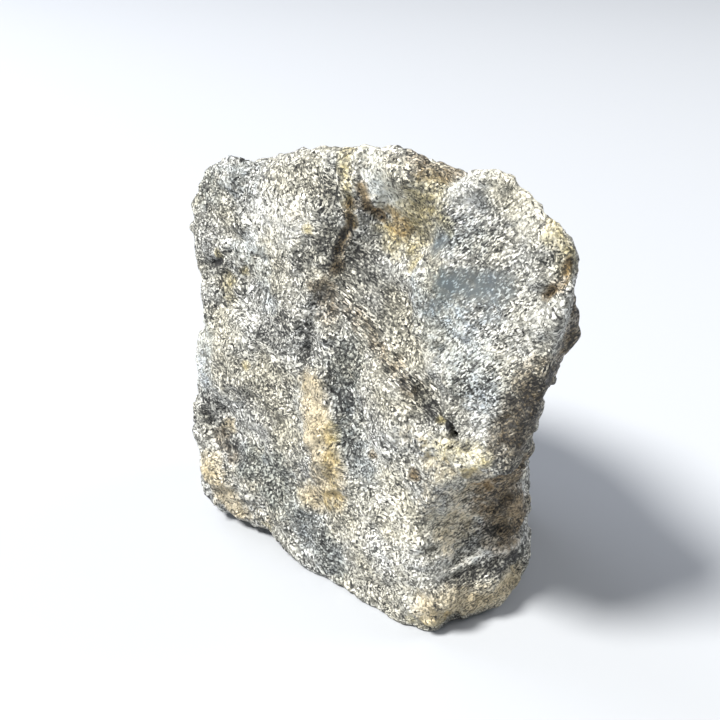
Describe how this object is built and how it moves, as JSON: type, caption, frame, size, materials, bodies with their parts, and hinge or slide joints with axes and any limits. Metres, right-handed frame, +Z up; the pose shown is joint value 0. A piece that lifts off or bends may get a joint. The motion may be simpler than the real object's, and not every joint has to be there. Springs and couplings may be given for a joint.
{
  "type": "rough labradorite stone",
  "caption": "Hand-size lump of unpolished labradorite with broken, grainy faces, a jagged crest and a cleft, standing on its own flat foot.",
  "frame": {"origin": "middle of the stone's bounding box in plan, on the surface it stands on", "axes": "+Z up from the foot to the crest, -Y out of the broad front face, +X to the right along that face"},
  "size_m": [0.0916, 0.0566, 0.0963],
  "materials": {
    "stone": "broken and grainy, dull with small bright cleavage flakes"
  },
  "bodies": {
    "root": {"stone": "stone"}
  },
  "joints": []
}
